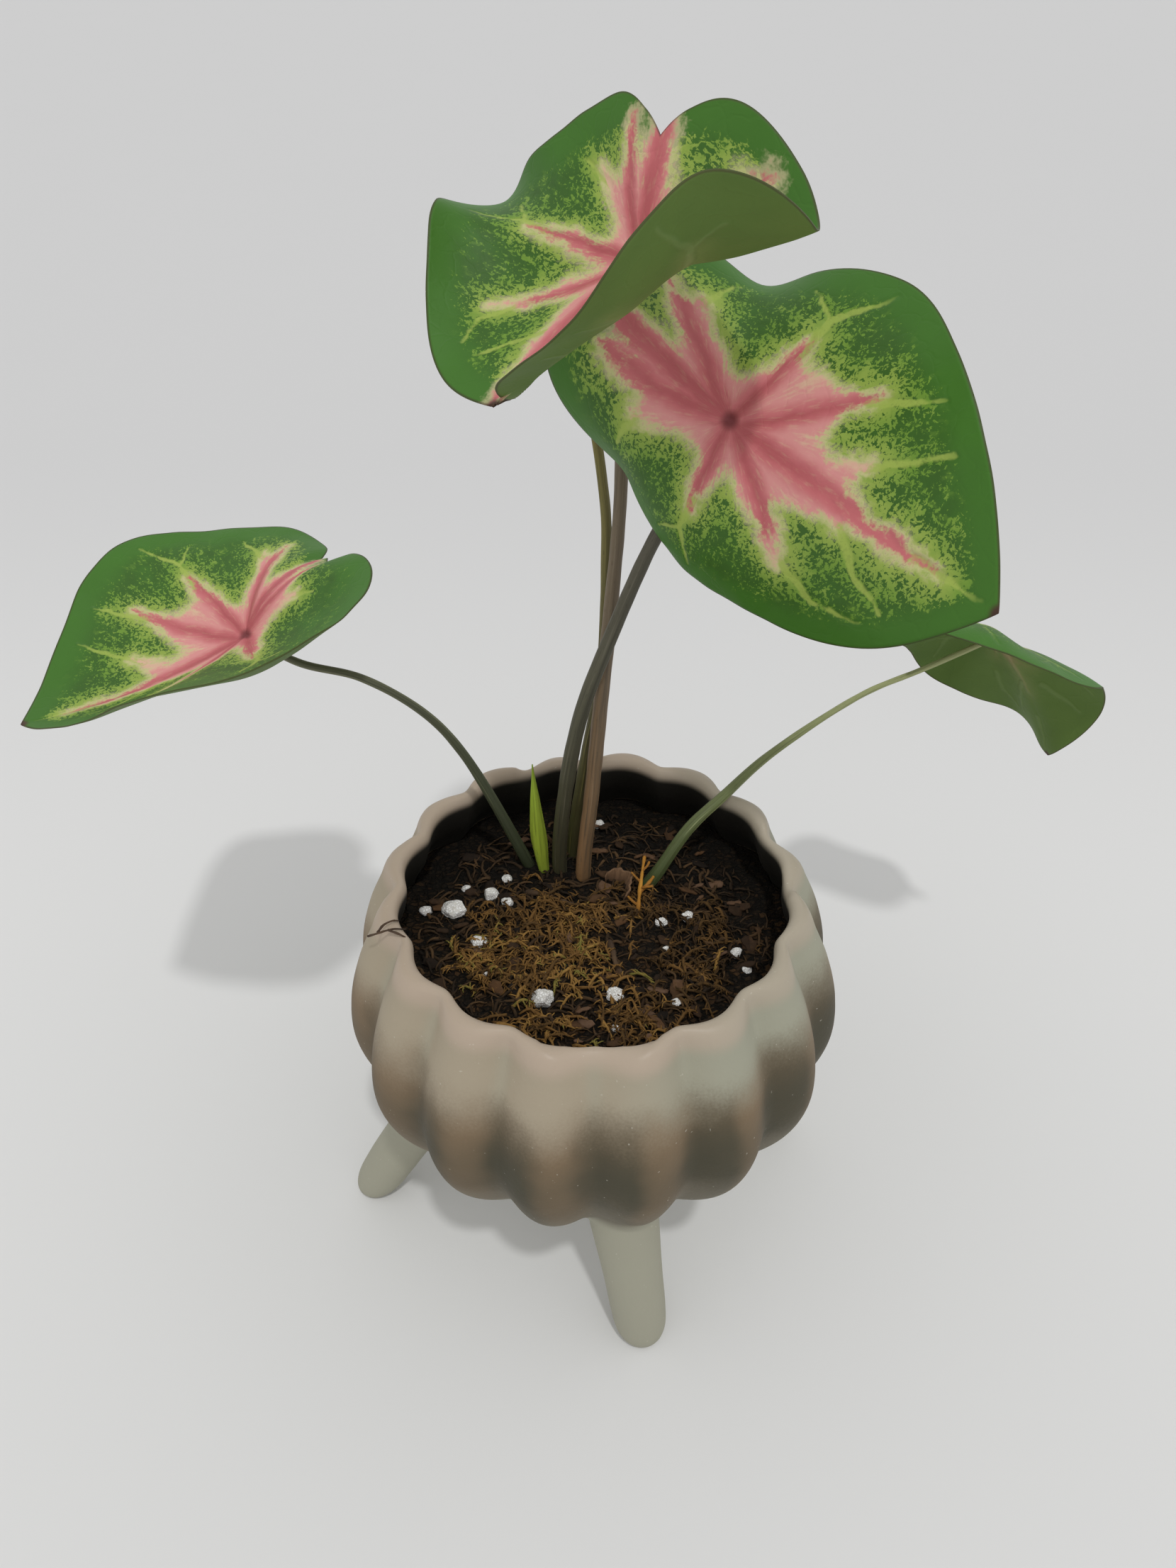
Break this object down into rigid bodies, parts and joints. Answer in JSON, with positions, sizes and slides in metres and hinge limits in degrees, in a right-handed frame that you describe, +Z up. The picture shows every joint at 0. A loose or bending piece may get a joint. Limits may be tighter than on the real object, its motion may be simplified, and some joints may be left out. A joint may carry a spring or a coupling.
{
  "type": "potted caladium",
  "caption": "Young caladium with pink-veined green leaves on long stalks, one rolled new leaf, potting mix and a lobed ceramic pot on stubby legs.",
  "frame": {"origin": "on the ground under the middle of the whole plant", "axes": "+Z up, +X to the viewer's right and +Y away from the viewer in the picture"},
  "size_m": [0.2716, 0.1536, 0.2801],
  "materials": {
    "pot_ceramic": "matte, warm grey-beige with darker olive-brown patches low on the lobes",
    "potting_mix": "crumbly, nearly black brown mix with coir fibres and moss",
    "tuber": "rough brown skin",
    "leaf": "satin green with pink veins and yellow-green speckles",
    "petiole_brown": "satin, orange-brown",
    "petiole_dark": "satin, dark grey-green",
    "petiole_green": "satin, olive green",
    "shoot": "satin, bright yellow-green",
    "dry_sheath": "dry and papery, brown",
    "root": "ochre",
    "twig": "dark brown bark",
    "perlite": "white and porous"
  },
  "bodies": {
    "root": {"pot": "pot_ceramic", "soil": "potting_mix", "tuber": "tuber", "leaf_top": "leaf", "leaf_front": "leaf", "leaf_left": "leaf", "leaf_right": "leaf", "leaf_back": "leaf", "petiole_top": "petiole_brown", "petiole_front": "petiole_dark", "petiole_left": "petiole_dark", "petiole_right": "petiole_green", "petiole_back": "petiole_green", "shoot": "shoot", "dead_sheath": "dry_sheath", "root_sprig": "root", "twig_1": "twig", "twig_2": "twig", "twig_3": "twig", "perlite_01": "perlite", "perlite_02": "perlite", "perlite_03": "perlite", "perlite_04": "perlite", "perlite_05": "perlite", "perlite_06": "perlite", "perlite_07": "perlite", "perlite_08": "perlite", "perlite_09": "perlite", "perlite_10": "perlite", "perlite_11": "perlite", "perlite_12": "perlite", "perlite_13": "perlite", "perlite_14": "perlite", "perlite_15": "perlite", "perlite_16": "perlite", "perlite_17": "perlite", "perlite_18": "perlite"}
  },
  "joints": []
}
